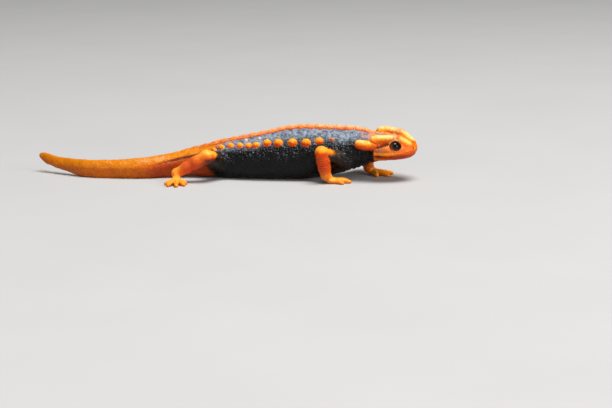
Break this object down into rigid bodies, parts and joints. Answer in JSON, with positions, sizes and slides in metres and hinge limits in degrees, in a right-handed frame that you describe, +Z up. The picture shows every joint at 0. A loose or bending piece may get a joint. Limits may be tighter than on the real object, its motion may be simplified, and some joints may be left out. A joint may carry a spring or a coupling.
{
  "type": "crocodile newt",
  "caption": "Life-size still model of an orange and black crocodile newt standing low on its four feet, with head ridges, a ridged back, rows of rib warts and a long low tail.",
  "frame": {"origin": "on the floor under the middle of the bounding box", "axes": "+X towards the snout, +Y to the animal's left, +Z up"},
  "size_m": [0.138, 0.0446, 0.0195],
  "materials": {
    "skin_orange": "moist granular orange skin with a satin gloss",
    "skin_black": "moist granular black skin with a satin gloss",
    "eye": "wet, very dark brown"
  },
  "bodies": {
    "root": {"head": "skin_orange", "lower_jaw": "skin_orange", "eye_left": "eye", "eye_right": "eye", "neck": "skin_black", "trunk": "skin_black", "tail_base": "skin_orange", "tail_middle": "skin_orange", "tail_tip": "skin_orange", "right_upper_arm": "skin_black", "right_forearm": "skin_orange", "right_hand": "skin_orange", "left_upper_arm": "skin_black", "left_forearm": "skin_orange", "left_hand": "skin_orange", "right_thigh": "skin_orange", "right_shank": "skin_orange", "right_foot": "skin_orange", "left_thigh": "skin_orange", "left_shank": "skin_orange", "left_foot": "skin_orange"}
  },
  "joints": []
}
